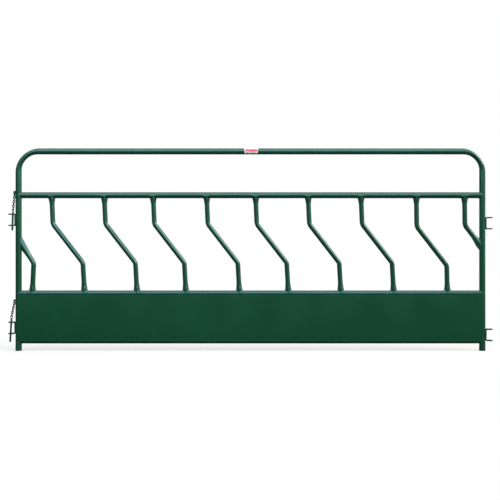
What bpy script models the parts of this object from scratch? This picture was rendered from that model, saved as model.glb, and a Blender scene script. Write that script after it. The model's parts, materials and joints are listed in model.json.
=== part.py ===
"""Slant bar hay feeder panel: a bent tube frame with three rails, a steel sheet across the
bottom, S shaped feeding bars, rod loops at both ends and two drop pins that hang on chains.

X runs along the panel, the animals stand on the -Y side, and Z is up from the ground.
The origin is on the ground, in the middle of the panel's length and of its tube.
All sizes are in metres and all angles in degrees.
"""
import math

import bmesh
import bpy
from mathutils import Matrix, Vector

# Frame and rails
panel_width = 3.6576
panel_height = 1.5748
frame_tube = 0.047625
frame_wall = 0.00165
corner_radius = 0.158
mid_rail_height = 1.2097
lower_rail_height = 0.4451
bottom_rail_height = 0.0794

# Sheet
sheet_thickness = 0.0019
sheet_top_drop = 0.0056
sheet_bottom_lap = 0.0012
sheet_side_lap = 0.0015
sheet_corner_clip = 0.020

# Feeding bars
bar_tube = 0.0381
bar_wall = 0.00165
bar_pitch = 0.4026
first_bar_inset = 0.2575
last_bar_room = 0.2350
upper_leg_drop = 0.2243
lower_leg_rise = 0.2390
upper_leg_lean = 0.0095
slant_run = 0.2330
lower_leg_lean = 0.0134
bar_bend_radius = 0.070
bend_dent = 0.0032
bend_bulge = 0.0012
# How each bar was set by hand: its distance from its even place, the share of the legs' lean
# that it has, and how far its slant sits below the others'
bars_by_hand = (
    (0.0, 1.0, 0.0),
    (0.0065, 1.0, 0.0),
    (-0.0157, 1.0, 0.0),
    (-0.0018, 1.0, 0.0),
    (-0.0234, 1.0, 0.0),
    (-0.0171, 1.0, 0.0),
    (-0.0084, 1.0, 0.0),
    (0.0203, 0.4, 0.0190),
)

# Saddles pressed into the ends of the bars
flare_length = 0.095
saddle_width = 0.056
saddle_corner = 0.008
saddle_lip = 0.0015
stile_flare_length = 0.060
stile_saddle_squeeze = 0.003

# Half bars, measured from the axis of the stile that they meet
left_foot_inset = 0.1065
left_knee_inset = 0.1176
left_knee_rise = 0.2359
left_stile_rise = 0.1867
right_top_inset = 0.1385
right_knee_inset = 0.1354
right_knee_drop = 0.2335
right_stile_drop = 0.1744

# Rod loops that take the pins
rod = 0.009525
loop_reach = 0.057
loop_spacing = 0.087
loop_bend_radius = 0.0105
upper_loop_height = 1.0190
upper_loop_mating_drop = 0.0265
lower_loop_height = 0.1776
lower_loop_mating_drop = 0.0546

# Drop pins
pin = 0.0143
pin_side_play = 0.00385
pin_tip_chamfer = 0.003
upper_pin_tilt = 2.2
upper_pin_head_rise = 0.0128
upper_pin_tail = 0.040
upper_pin_tip_play = 0.0157
lower_pin_tilt = 3.3
lower_pin_head_rise = 0.0276
lower_pin_tail = 0.066
lower_pin_tip_play = 0.0016

# Chain
link_wire = 0.005
link_inside_length = 0.018
link_inside_width = 0.0075
link_play = 0.0004
chain_stand_off = 0.0100
links_per_chain = 6
lug_depth = 0.013
lug_reach = 0.0175
lug_cover = 0.001
lug_edge = 0.003
upper_lug_height = 0.034
lower_lug_height = 0.016

# Clearance between pieces that are welded on the real panel
weld_gap = 0.0003

# Fineness of the round forms
tube_sides = 16
bar_sides = 12
bore_sides = 8
corner_steps = 8
bend_steps = 3
flare_steps = (0, 0.3, 0.62, 1)

# Lengths and places that follow from the sizes above
frame_radius = frame_tube / 2
stile_x = panel_width / 2 - frame_radius
bar_radius = bar_tube / 2
rod_radius = rod / 2
pin_radius = pin / 2
loop_half_width = pin_radius + pin_side_play + rod_radius
loop_tip_centre = loop_reach - rod_radius - loop_half_width
link_arc_radius = (link_inside_width + link_wire) / 2
link_arc_distance = link_inside_length - link_inside_width
link_hang = link_inside_width - link_play
link_end = link_arc_radius + link_wire / 2
edge_link_pitch = 2 * link_hang + link_arc_distance
chain_length = (links_per_chain // 2) * (link_arc_distance + edge_link_pitch)
pin_head_depth = link_arc_distance + link_end + weld_gap

ACROSS = Vector((1, 0, 0))
DEPTH = Vector((0, 1, 0))
UP = Vector((0, 0, 1))


def clear_scene():
    for item in list(bpy.data.objects):
        bpy.data.objects.remove(item, do_unlink=True)


def new_collection(name):
    collection = bpy.data.collections.new(name)
    bpy.context.scene.collection.children.link(collection)
    return collection


def paint(name, colour, roughness, metallic=0.0):
    """One coat of enamel: a Principled BSDF in the part's own colour."""
    material = bpy.data.materials.new(name)
    material.use_nodes = True
    shader = material.node_tree.nodes["Principled BSDF"]
    shader.inputs["Base Color"].default_value = (*colour, 1.0)
    shader.inputs["Roughness"].default_value = roughness
    shader.inputs["Metallic"].default_value = metallic
    material.diffuse_color = (*colour, 1.0)
    return material


TUBE_GREEN = (0.0125, 0.0640, 0.0360)
SHEET_GREEN = (0.0097, 0.0595, 0.0307)
ROD_GREEN = (0.0180, 0.0700, 0.0420)
CHAIN_GREEN = (0.0230, 0.0620, 0.0400)


def add_part(name, mesh, colour, roughness=0.35, metallic=0.0, smooth=True):
    """Put a mesh in the panel's collection as a sub-part with its own material."""
    part = bpy.data.objects.new(name, mesh)
    panel.objects.link(part)
    if not mesh.materials:
        mesh.materials.append(None)
    part.material_slots[0].link = "OBJECT"
    part.material_slots[0].material = paint(name + "_paint", colour, roughness, metallic)
    if smooth:
        mesh.shade_smooth()
        mesh.set_sharp_from_angle(angle=math.radians(40))
    return part


def add_cutter(name, mesh):
    cutter = bpy.data.objects.new(name, mesh)
    cutters.objects.link(cutter)
    cutter.hide_render = True
    cutter.display_type = "WIRE"
    return cutter


def cut(part, cutter, operation="DIFFERENCE"):
    boolean = part.modifiers.new(cutter.name, "BOOLEAN")
    boolean.operation = operation
    boolean.solver = "EXACT"
    boolean.object = cutter


def wall(part, thickness):
    """Turn an open tube surface into a tube with a wall on its inner side."""
    solidify = part.modifiers.new("wall", "SOLIDIFY")
    solidify.thickness = thickness
    solidify.offset = -1.0
    solidify.use_even_offset = True


def curve_mesh(name, points, radius, sides, closed=False, capped=True):
    """Sweep a round section of the given number of sides along the points."""
    curve = bpy.data.curves.new(name, "CURVE")
    curve.dimensions = "3D"
    curve.bevel_depth = radius
    curve.bevel_resolution = (sides - 4) // 2
    curve.use_fill_caps = capped and not closed
    spline = curve.splines.new("POLY")
    spline.points.add(len(points) - 1)
    for spot, point in zip(spline.points, points):
        spot.co = (*point, 1.0)
    spline.use_cyclic_u = closed
    return mesh_from_curve(name, curve)


def mesh_from_curve(name, curve, turn=Matrix.Identity(4)):
    """Evaluate a curve, weld its caps and give the mesh alone."""
    guide = bpy.data.objects.new(name + "_guide", curve)
    bpy.context.scene.collection.objects.link(guide)
    bpy.context.view_layer.update()
    graph = bpy.context.evaluated_depsgraph_get()
    mesh = bpy.data.meshes.new_from_object(guide.evaluated_get(graph))
    mesh.name = name
    shell = bmesh.new()
    shell.from_mesh(mesh)
    bmesh.ops.remove_doubles(shell, verts=shell.verts, dist=0.00001)
    shell.transform(turn)
    shell.to_mesh(mesh)
    shell.free()
    bpy.data.objects.remove(guide, do_unlink=True)
    return mesh


def rail_mesh(name, height, radius, capped):
    """A straight tube surface from stile axis to stile axis."""
    shell = bmesh.new()
    along = Matrix.Translation(UP * height) @ Matrix.Rotation(math.radians(90), 4, "Y")
    bmesh.ops.create_cone(shell, segments=tube_sides, radius1=radius, radius2=radius,
                          depth=2 * stile_x, cap_ends=capped, matrix=along)
    mesh = bpy.data.meshes.new(name)
    shell.to_mesh(mesh)
    shell.free()
    return mesh


def frame_path():
    """Up the left leg, round the corner, along the top and down the right leg."""
    top = panel_height - frame_radius
    points = [Vector((-stile_x, 0, 0))]
    for side in (-1, 1):
        centre = Vector((side * (stile_x - corner_radius), 0, top - corner_radius))
        for step in range(corner_steps + 1):
            share = step / corner_steps
            turn = math.radians(180 - 90 * share) if side < 0 else math.radians(90 - 90 * share)
            points.append(centre + corner_radius * Vector((math.cos(turn), 0, math.sin(turn))))
    points.append(Vector((stile_x, 0, 0)))
    return points


def build_frame():
    path = frame_path()
    tube = curve_mesh("outer_frame", path, frame_radius, tube_sides, capped=False)
    wall(add_part("outer_frame", tube, TUBE_GREEN), frame_wall)
    return add_cutter("frame_cutter", curve_mesh("frame_cutter", path, frame_radius + weld_gap, tube_sides))


def build_rails(frame_cutter):
    """Three rails, coped to the stiles, and the cutters that shape the bars' saddles."""
    rail_cutters = {}
    heights = {"mid_rail": mid_rail_height, "lower_rail": lower_rail_height, "bottom_rail": bottom_rail_height}
    for name, height in heights.items():
        rail = add_part(name, rail_mesh(name, height, frame_radius, False), TUBE_GREEN)
        wall(rail, frame_wall)
        cut(rail, frame_cutter)
        solid = rail_mesh(name + "_cutter", height, frame_radius + weld_gap, True)
        rail_cutters[name] = add_cutter(name + "_cutter", solid)
    return rail_cutters


def build_sheet():
    """A flat sheet on the front of the stiles and rails, with its two top corners clipped."""
    side = stile_x + sheet_side_lap
    top = lower_rail_height - sheet_top_drop
    bottom = bottom_rail_height - sheet_bottom_lap
    clip = sheet_corner_clip
    outline = [(-side, bottom), (side, bottom), (side, top - clip), (side - clip, top),
               (clip - side, top), (-side, top - clip)]
    curve = bpy.data.curves.new("sheet", "CURVE")
    curve.dimensions = "2D"
    curve.fill_mode = "BOTH"
    curve.extrude = sheet_thickness / 2
    spline = curve.splines.new("POLY")
    spline.points.add(len(outline) - 1)
    for spot, (x, z) in zip(spline.points, outline):
        spot.co = (x, z, 0, 1)
    spline.use_cyclic_u = True
    middle = -(frame_radius + weld_gap + sheet_thickness / 2)
    stand = Matrix.Translation(DEPTH * middle) @ Matrix.Rotation(math.radians(90), 4, "X")
    add_part("sheet", mesh_from_curve("sheet", curve, stand), SHEET_GREEN, 0.42, smooth=False)


class Station:
    """One cross section of a bar: where it is, which way is across, and its half sizes."""

    def __init__(self, point, across, half_width, half_depth, corner, dent=0.0):
        self.point = point
        self.across = across
        self.half_width = half_width
        self.half_depth = half_depth
        self.corner = corner
        self.dent = dent

    def ring(self, inset, sides):
        """Points of a rounded rectangle, an even circle where the corner is the half size."""
        points = []
        for step in range(sides):
            turn = 2 * math.pi * (step + 0.5) / sides
            side = math.copysign(1, math.cos(turn))
            face = math.copysign(1, math.sin(turn))
            width = self.half_width - inset - (abs(self.dent) if side * self.dent > 0 else 0)
            depth = self.half_depth - inset
            corner = min(max(self.corner - inset, 0.001), width, depth)
            across = side * (width - corner) + corner * math.cos(turn)
            outward = face * (depth - corner) + corner * math.sin(turn)
            points.append(self.point + self.across * across + DEPTH * outward)
        return points


def normal_to(direction):
    """The direction across a bar, in the panel's own plane."""
    return Vector((-direction.z, 0, direction.x)).normalized()


def round_station(point, direction, dent=0.0, bulge=0.0):
    return Station(point, normal_to(direction), bar_radius, bar_radius + bulge, bar_radius, dent)


def rail_saddle(end, direction):
    """Stations from a rail's axis out to where the flare has died away into round tube."""
    stations = []
    for share in flare_steps:
        ease = 0.5 * (1 + math.cos(math.pi * share))
        depth = frame_radius + weld_gap + saddle_lip
        stations.append(Station(end + direction * (share * flare_length), normal_to(direction),
                                bar_radius + (saddle_width / 2 - bar_radius) * ease,
                                bar_radius + (depth - bar_radius) * ease,
                                bar_radius + (saddle_corner - bar_radius) * ease))
    return stations


def stile_saddle(end, direction):
    """Stations from the stile's axis, out through its face, to where the flare has died away."""
    face = frame_radius / abs(direction.x)
    stations = [round_station(end, direction)]
    for share in flare_steps:
        ease = 0.5 * (1 + math.cos(math.pi * share))
        half_depth = bar_radius - stile_saddle_squeeze * ease
        stations.append(Station(end + direction * (face + share * stile_flare_length), normal_to(direction),
                                bar_radius + (saddle_width / 2 - bar_radius) * ease, half_depth, half_depth))
    return stations


def bend_stations(before, knee, after):
    """A crushed bend: an arc whose inner side is pushed in and whose faces bulge."""
    come = (knee - before).normalized()
    go = (after - knee).normalized()
    tangent = bar_bend_radius * math.tan(come.angle(go) / 2)
    inside = (go - come).normalized()
    centre = knee + inside * math.hypot(tangent, bar_bend_radius)
    first = (knee - come * tangent - centre).normalized()
    last = (knee + go * tangent - centre).normalized()
    side = math.copysign(1, normal_to(come).dot(inside))
    stations = []
    for step in range(bend_steps + 1):
        share = step / bend_steps
        crush = math.sin(math.pi * (0.2 + 0.6 * share))
        spot = centre + first.slerp(last, share) * bar_bend_radius
        stations.append(round_station(spot, come.slerp(go, share), side * bend_dent * crush, bend_bulge * crush))
    return stations


def skin(shell, stations, inset, sides):
    """Rings of points at the stations, joined by faces. Gives the edges of the two open ends."""
    rings = [[shell.verts.new(point) for point in station.ring(inset, sides)] for station in stations]
    for ring, following in zip(rings, rings[1:]):
        for step in range(sides):
            around = (step + 1) % sides
            shell.faces.new((ring[step], ring[around], following[around], following[step]))
    ends = []
    for ring in (rings[0], rings[-1]):
        ends.append([shell.edges.get((ring[step], ring[(step + 1) % sides])) for step in range(sides)])
    return ends


def loft_tube(name, stations):
    """Join the stations into a tube with a wall, open at both ends."""
    shell = bmesh.new()
    outer_ends = skin(shell, stations, 0.0, bar_sides)
    inner_ends = skin(shell, stations, bar_wall, bore_sides)
    for outer, inner in zip(outer_ends, inner_ends):
        bmesh.ops.triangle_fill(shell, edges=outer + inner, use_beauty=True)
    bmesh.ops.recalc_face_normals(shell, faces=shell.faces)
    mesh = bpy.data.meshes.new(name)
    shell.to_mesh(mesh)
    shell.free()
    return mesh


def full_bar(name, top_x, lean, drop, rail_cutters):
    """An S shaped bar from the mid rail down to the lower rail."""
    top = Vector((top_x, 0, mid_rail_height))
    upper = top + Vector((lean * upper_leg_lean, 0, -(upper_leg_drop + drop)))
    lower = Vector((upper.x + slant_run, 0, lower_rail_height + lower_leg_rise - drop))
    foot = Vector((lower.x + lean * lower_leg_lean, 0, lower_rail_height))
    stations = rail_saddle(top, (upper - top).normalized())
    stations += bend_stations(top, upper, lower)
    stations += bend_stations(upper, lower, foot)
    for station in reversed(rail_saddle(foot, (lower - foot).normalized())):
        station.across = -station.across
        stations.append(station)
    bar = add_part(name, loft_tube(name, stations), TUBE_GREEN)
    cut(bar, rail_cutters["mid_rail"])
    cut(bar, rail_cutters["lower_rail"])


def half_bar(name, rail_end, knee, stile_end, cutter, frame_cutter):
    """A bar with one leg on a rail and its slant welded to a stile."""
    stations = rail_saddle(rail_end, (knee - rail_end).normalized())
    stations += bend_stations(rail_end, knee, stile_end)
    for station in reversed(stile_saddle(stile_end, (knee - stile_end).normalized())):
        station.across = -station.across
        stations.append(station)
    bar = add_part(name, loft_tube(name, stations), TUBE_GREEN)
    cut(bar, cutter)
    cut(bar, frame_cutter)


def build_bars(rail_cutters, frame_cutter):
    first_x = -stile_x + first_bar_inset
    room = 2 * stile_x - first_bar_inset - right_top_inset - last_bar_room
    count = 1 + int(room / bar_pitch)
    for index in range(count):
        off, lean, drop = bars_by_hand[index] if index < len(bars_by_hand) else (0.0, 1.0, 0.0)
        full_bar(f"slant_bar_{index + 1}", first_x + index * bar_pitch + off, lean, drop, rail_cutters)
    left_foot = Vector((left_foot_inset - stile_x, 0, lower_rail_height))
    left_knee = Vector((left_knee_inset - stile_x, 0, lower_rail_height + left_knee_rise))
    left_end = Vector((-stile_x, 0, left_knee.z + left_stile_rise))
    half_bar("left_half_bar", left_foot, left_knee, left_end, rail_cutters["lower_rail"], frame_cutter)
    right_top = Vector((stile_x - right_top_inset, 0, mid_rail_height))
    right_knee = Vector((stile_x - right_knee_inset, 0, mid_rail_height - right_knee_drop))
    right_end = Vector((stile_x, 0, right_knee.z - right_stile_drop))
    half_bar("right_half_bar", right_top, right_knee, right_end, rail_cutters["mid_rail"], frame_cutter)


def arc(centre, first, second, start, stop, steps):
    """Points round a centre, from angle start to angle stop in the plane of two spokes."""
    points = []
    for step in range(steps + 1):
        turn = math.radians(start + (stop - start) * step / steps)
        points.append(centre + first * math.cos(turn) + second * math.sin(turn))
    return points


def build_loop(name, side, height):
    """An endless rod: two level U loops joined by two uprights that lie against the stile."""
    axis = Vector((side * stile_x, 0, height))
    out = ACROSS * side
    hold = frame_radius + rod_radius + weld_gap
    leg_out = math.sqrt(hold ** 2 - loop_half_width ** 2)
    tip_out = frame_radius + loop_tip_centre
    half = loop_spacing / 2
    bend = loop_bend_radius
    points = []
    for level, face in ((-half, 1), (half, -1)):
        tip = axis + out * tip_out + UP * level
        points += arc(tip, -DEPTH * face * loop_half_width, out * loop_half_width, 0, 180, 6)
        rise = UP * math.copysign(bend, -level)
        near = DEPTH * face * loop_half_width
        corner = axis + near + out * (leg_out + bend) + UP * level + rise
        points += arc(corner, -rise, -out * bend, 0, 90, 2)
        corner = axis + near + out * (leg_out + bend) - UP * level - rise
        points += arc(corner, -out * bend, rise, 0, 90, 2)
    add_part(name, curve_mesh(name, points, rod_radius, 8, closed=True), ROD_GREEN, 0.4)


def link_points(plane, top):
    """A link's centre line, in the plane of Z and the given direction, hanging from top."""
    upper = UP * top
    lower = upper - UP * link_arc_distance
    side = plane * link_arc_radius
    lift = UP * link_arc_radius
    return arc(upper, side, lift, 0, 180, 6) + arc(lower, -side, -lift, 0, 180, 6)


def link_mesh(name, plane, top):
    return curve_mesh(name, link_points(plane, top), link_wire / 2, 6, closed=True)


def pin_mesh(name, length):
    """A plain round pin with a chamfered tip, turned about Z, its head below the chain's last link."""
    top = -pin_head_depth
    tip = top - length
    profile = [(0, top), (pin_radius, top), (pin_radius, tip + pin_tip_chamfer),
               (pin_radius - pin_tip_chamfer / 2, tip), (0, tip)]
    mesh = bpy.data.meshes.new(name)
    edges = [(step, step + 1) for step in range(len(profile) - 1)]
    mesh.from_pydata([(x, 0, z) for x, z in profile], edges, [])
    return mesh


def turned(part, steps):
    screw = part.modifiers.new("turned", "SCREW")
    screw.axis = "Z"
    screw.steps = steps
    screw.render_steps = steps
    screw.use_merge_vertices = True
    screw.merge_threshold = 0.00001
    screw.use_smooth_shade = True


def build_anchor(place, pivot, lug_height, frame_cutter):
    """The link that holds a chain to the stile, sunk at its top in a welded lug."""
    name = place + "_anchor_link"
    link_top = link_hang + link_arc_distance
    ring = add_cutter(name + "_ring", link_mesh(name + "_ring", DEPTH, link_top))
    ring.location = pivot
    near = -(stile_x + frame_radius / 2)
    far = -(stile_x + frame_radius + lug_reach)
    bottom = pivot.z + link_hang + link_arc_distance / 2 - lug_cover
    shell = bmesh.new()
    size = Matrix.Diagonal((near - far, lug_depth, lug_height, 1))
    middle = Vector(((near + far) / 2, 0, bottom + lug_height / 2))
    bmesh.ops.create_cube(shell, size=1, matrix=Matrix.Translation(middle) @ size)
    mesh = bpy.data.meshes.new(name)
    shell.to_mesh(mesh)
    shell.free()
    anchor = add_part(name, mesh, CHAIN_GREEN, 0.5)
    bevel = anchor.modifiers.new("edge", "BEVEL")
    bevel.width = lug_edge
    bevel.segments = 2
    cut(anchor, ring, "UNION")
    cut(anchor, frame_cutter)


def build_chain(place, loop_height, tilt, head_rise, tail, tip_play, lug_height, frame_cutter):
    """A chain of links, each hung on the last, and the drop pin that it carries.

    Every link's origin is the pivot on the link above, and it is parented to that link. The
    pin leans in its loops, so the chain leans as far as it must to reach the pin's head.
    """
    arm = loop_height + loop_spacing / 2
    pin_turn = math.radians(tilt)
    pin_pivot_z = arm + head_rise + pin_head_depth * math.cos(pin_turn)
    tip_z = loop_height - loop_spacing / 2 - tail
    pin_length = (pin_pivot_z - tip_z) / math.cos(pin_turn) - pin_head_depth
    low_out = loop_reach - rod - pin_radius - tip_play
    pivot_out = low_out - math.tan(pin_turn) * (pin_pivot_z - (loop_height - loop_spacing / 2))
    lean = math.asin((pivot_out - chain_stand_off) / chain_length)
    pivot = Vector((-(stile_x + frame_radius + chain_stand_off), 0,
                    pin_pivot_z + chain_length * math.cos(lean)))
    build_anchor(place, pivot, lug_height, frame_cutter)
    above = None
    for index in range(links_per_chain + 1):
        last = index == links_per_chain
        edge_on = index % 2 == 1
        name = place + ("_pin_link" if last else f"_chain_link_{index + 1}")
        link = add_part(name, edge_mesh if edge_on else face_mesh, CHAIN_GREEN, 0.5)
        link.parent = above
        if above:
            link.location = UP * -(link_arc_distance if edge_on else edge_link_pitch)
        else:
            link.location = pivot
            link.rotation_euler.y = lean
        if last:
            link.rotation_euler.y = pin_turn - lean
        above = link
    drop_pin = add_part(place + "_drop_pin", pin_mesh(place + "_drop_pin", pin_length), ROD_GREEN, 0.45)
    turned(drop_pin, 12)
    drop_pin.parent = above


clear_scene()
panel = new_collection("hay_feeder_panel")
cutters = new_collection("cutters")
face_mesh = link_mesh("face_link", ACROSS, 0)
edge_mesh = link_mesh("edge_link", DEPTH, -link_hang)

stile_cutter = build_frame()
saddle_cutters = build_rails(stile_cutter)
build_sheet()
build_bars(saddle_cutters, stile_cutter)
build_loop("left_upper_loop", -1, upper_loop_height)
build_loop("left_lower_loop", -1, lower_loop_height)
build_loop("right_upper_loop", 1, upper_loop_height - upper_loop_mating_drop)
build_loop("right_lower_loop", 1, lower_loop_height - lower_loop_mating_drop)
build_chain("upper", upper_loop_height, upper_pin_tilt, upper_pin_head_rise, upper_pin_tail,
            upper_pin_tip_play, upper_lug_height, stile_cutter)
build_chain("lower", lower_loop_height, lower_pin_tilt, lower_pin_head_rise, lower_pin_tail,
            lower_pin_tip_play, lower_lug_height, stile_cutter)
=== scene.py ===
"""Slant bar hay feeder panel: its fine surfaces, enamel, welds, chains and a plain studio.

X runs along the panel, the animals stand on the -Y side and Z is up. All sizes are in metres.
Tubes, rods, links and welds are sections carried along a path, worked out as whole arrays.
"""

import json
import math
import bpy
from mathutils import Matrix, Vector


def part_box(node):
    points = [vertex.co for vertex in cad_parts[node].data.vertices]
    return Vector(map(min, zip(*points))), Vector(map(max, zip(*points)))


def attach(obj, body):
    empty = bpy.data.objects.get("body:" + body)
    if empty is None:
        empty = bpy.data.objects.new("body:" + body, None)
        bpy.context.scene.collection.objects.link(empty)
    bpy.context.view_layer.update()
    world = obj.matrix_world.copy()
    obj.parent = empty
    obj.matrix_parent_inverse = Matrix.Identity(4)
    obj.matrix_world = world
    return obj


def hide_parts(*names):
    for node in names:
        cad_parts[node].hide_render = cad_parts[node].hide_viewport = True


bl_info = {
    "name": "Hay feeder panel",
    "version": (1, 0, 0),
    "blender": (4, 5, 0),
    "location": "3D View > Sidebar > Feeder",
    "description": "A slant bar hay feeder panel with its enamel, welds, chains and studio",
    "category": "Add Mesh",
}

import bmesh
import bpy
import numpy as np
from bpy.props import FloatProperty, FloatVectorProperty, IntProperty, PointerProperty
from mathutils import Vector

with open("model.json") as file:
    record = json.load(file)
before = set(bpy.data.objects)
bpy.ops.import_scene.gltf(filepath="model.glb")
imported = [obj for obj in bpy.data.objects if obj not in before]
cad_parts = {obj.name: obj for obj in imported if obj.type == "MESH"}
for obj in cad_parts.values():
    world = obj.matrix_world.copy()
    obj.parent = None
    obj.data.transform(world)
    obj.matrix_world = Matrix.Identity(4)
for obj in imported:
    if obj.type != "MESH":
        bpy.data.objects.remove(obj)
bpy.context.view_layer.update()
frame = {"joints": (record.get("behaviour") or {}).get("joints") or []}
PIVOTS = {joint["child"]: np.array(joint["pos_m"]) for joint in frame["joints"]}

ACROSS, DEPTH, UP = np.eye(3)


# Settings

def setting(kind=FloatProperty, **fixed):
    """A maker of settings of one kind, from a value and a description."""
    return lambda value, description: kind(default=value, description=description, **fixed)


length = setting(min=0, unit="LENGTH", precision=5)
place = setting(unit="LENGTH", precision=5)
strength = setting(min=0)
share = setting(subtype="FACTOR", min=0, max=1)
lean = setting(subtype="ANGLE")
number = setting(IntProperty, min=0)
colour = setting(FloatVectorProperty, subtype="COLOR", min=0, max=1)


class FeederTubes(bpy.types.PropertyGroup):
    """Sizes and places of the frame, the rails and the sheet."""
    frame_radius: length(0.0238125, "Half the outside diameter of the frame and rails")
    frame_wall: length(0.00165, "Thickness of the frame's tube wall")
    stile_x: length(1.8049875, "Distance of each stile's axis from the middle")
    top_z: length(1.5509875, "Height of the top tube's axis")
    corner_radius: length(0.158, "Bend radius of the frame's two corners")
    corner_crush: share(0.16, "How much narrower the tube is in the plane of its corners")
    wrinkle_depth: length(0.0007, "Depth of the wrinkles on a corner's inner side")
    wrinkle_pitch: length(0.0115, "Distance between those wrinkles")
    mid_rail_z: length(1.2097, "Height of the mid rail's axis")
    lower_rail_z: length(0.4451, "Height of the lower rail's axis")
    bottom_rail_z: length(0.0794, "Height of the bottom rail's axis")
    sheet_thickness: length(0.0019, "Thickness of the steel sheet")
    sheet_clip: length(0.020, "Size of the sheet's clipped top corners")
    sheet_ripple: length(0.0018, "How far the sheet is drawn in between its welds")
    edge_lift: length(0.0007, "How far the sheet's lower edge stands forward")
    tack_pitch: length(0.2003, "Distance between the tack welds on the sheet's long edges")


class FeederBars(bpy.types.PropertyGroup):
    """Sizes of the S shaped bars and of their saddles."""
    bar_radius: length(0.01905, "Half the outside diameter of a bar")
    bend_radius: length(0.070, "Radius of a bar's bends at its axis")
    bend_bulge: length(0.0012, "How far a bend's faces swell")
    crease_depth: length(0.0014, "How deep the crease on the inner side of a bend is")
    crush_length: length(0.030, "Half the length over which a bend's faces swell")
    top_flare: length(0.078, "Distance over which a bar's upper end flares")
    foot_flare: length(0.140, "Distance over which a bar's foot flares")
    left_flare: length(0.150, "Distance over which the left half bar flares to the stile")
    right_flare: length(0.080, "Distance over which the right half bar flares to the stile")
    saddle_width: length(0.062, "Width of the saddle's flap across the bar")
    saddle_lip: length(0.0005, "How far the saddle's flap stands off the rail")
    collar: length(0.0012, "How far the flap stands off a little way in from its edge")
    flare_depth: length(0.0085, "Half the depth of the flare's two wings")
    press: length(0.0013, "How far a bar's front and back are pressed in towards its ends")
    ridge: length(0.0004, "Height of the ridge that runs up the middle of the flap")
    tongue_width: length(0.034, "Width of the tongue in the middle of the flap")
    stile_width: length(0.058, "Width of a half bar's end at the stile")
    stile_depth: length(0.01605, "Half the depth of a half bar's end at the stile")


class FeederHardware(bpy.types.PropertyGroup):
    """Sizes of the loops, pins, chains and welds."""
    rod_radius: length(0.0047625, "Half the diameter of the loops' rod")
    loop_half_width: length(0.0157625, "Distance of a loop's legs from its middle")
    loop_tip: length(0.0522375, "Reach of a loop's axis past the stile's face")
    loop_spacing: length(0.087, "Distance between a loop's two level ends")
    loop_bend: length(0.0105, "Bend radius where a loop turns along the stile")
    pin_radius: length(0.00715, "Half the diameter of a drop pin")
    pin_drop: length(0.01955, "Distance from the pin link's pivot to the pin's head")
    wire_radius: length(0.0029, "Half the diameter of a link's wire")
    link_radius: length(0.00625, "Radius of a link's ends at the wire's middle")
    link_straight: length(0.0105, "Length of a link's straight sides")
    link_hang: length(0.0071, "Distance from an edge link's pivot down to its end's centre")
    upper_tilt: lean(math.radians(2.2), "Lean of the upper pin")
    lower_tilt: lean(math.radians(3.3), "Lean of the lower pin")
    bead: length(0.0021, "Radius of a full weld bead")
    ripple_pitch: length(0.0036, "Distance between the ripples of a weld")
    hand: number(7, "Seed of the welds' unevenness")


class FeederFinish(bpy.types.PropertyGroup):
    """Colours of the enamel, the bare steel and the label."""
    tube_green: colour((0.0085, 0.0570, 0.0300), "Enamel on the frame, rails and bars")
    tube_deep: colour((0.0058, 0.0460, 0.0225), "Enamel where it lies thicker")
    sheet_green: colour((0.0078, 0.0592, 0.0262), "Enamel on the sheet")
    # This deeper green is also the sheet's painted shade, laid by the thick attribute
    sheet_deep: colour((0.0044, 0.0494, 0.0202), "Enamel on the sheet where it lies thicker")
    rod_green: colour((0.0070, 0.0460, 0.0250), "Enamel on the loops and pins")
    chain_green: colour((0.0050, 0.0280, 0.0150), "Enamel on the chain links")
    sheen: colour((0.52, 0.90, 1.0), "Tint of the enamel's gloss")
    steel: colour((0.30, 0.29, 0.27), "Steel where the enamel has rubbed off")
    label_white: colour((0.78, 0.78, 0.76), "Ground of the plain label")
    label_red: colour((0.55, 0.030, 0.045), "Stripe on the plain label")
    tube_roughness: share(0.21, "Roughness of the tubes' enamel")
    sheet_roughness: share(0.42, "Roughness of the sheet's enamel")


class FeederStudio(bpy.types.PropertyGroup):
    """Lamps, floor and camera."""
    sky_light: strength(3.8, "Radiance of the two wide lamps")
    sky_tint: colour((0.90, 0.94, 1.0), "Colour of the two wide lamps")
    key_light: strength(9.0, "Radiance of the lamp at the right")
    key_tint: colour((1.0, 0.79, 0.66), "Colour of the lamp at the right")
    room_light: strength(0.08, "Strength of the soft light from every side")
    side_light: strength(1.0, "Strength of the soft light from the right")
    back_light: strength(1.2, "Strength of the soft light that the backdrop returns")
    room_tint: colour((0.70, 0.86, 0.76), "Colour of the soft light")
    floor_pale: colour((0.62, 0.62, 0.62), "Colour of the floor as the camera sees it")
    floor_grey: colour((0.05, 0.05, 0.05), "Colour of the floor for the light that it returns")
    camera_distance: length(5.65, "Distance of the camera from the panel")
    camera_z: length(0.7834, "Height of the camera")
    camera_x: place(-0.0037, "Place of the camera along the panel")
    view_width: length(3.8935, "Width of the view at the panel")


# How each bar was set by hand: its distance from its even place, the share of the legs' lean
# that it has, and how far its slant sits below the others'
BARS_BY_HAND = ((0.0, 1.0, 0.0), (0.0065, 1.0, 0.0), (-0.0157, 1.0, 0.0), (-0.0018, 1.0, 0.0),
                (-0.0234, 1.0, 0.0), (-0.0171, 1.0, 0.0), (-0.0084, 1.0, 0.0),
                (0.0203, 0.4, 0.0190))
FIRST_BAR_X, FIRST_FOOT_X, BAR_PITCH = -1.5474875, -1.2916, 0.4026
UPPER_LEG, SLANT_RUN, LOWER_LEG = (0.0095, -0.2243), 0.2330, (0.0134, -0.2390)
LEFT_HALF = ((0.0, 0.8677), (0.1176, 0.6810), (0.1065, 0.4451))
RIGHT_HALF = ((0.1385, 1.2097), (0.1354, 0.9762), (0.0, 0.8018))

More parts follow.
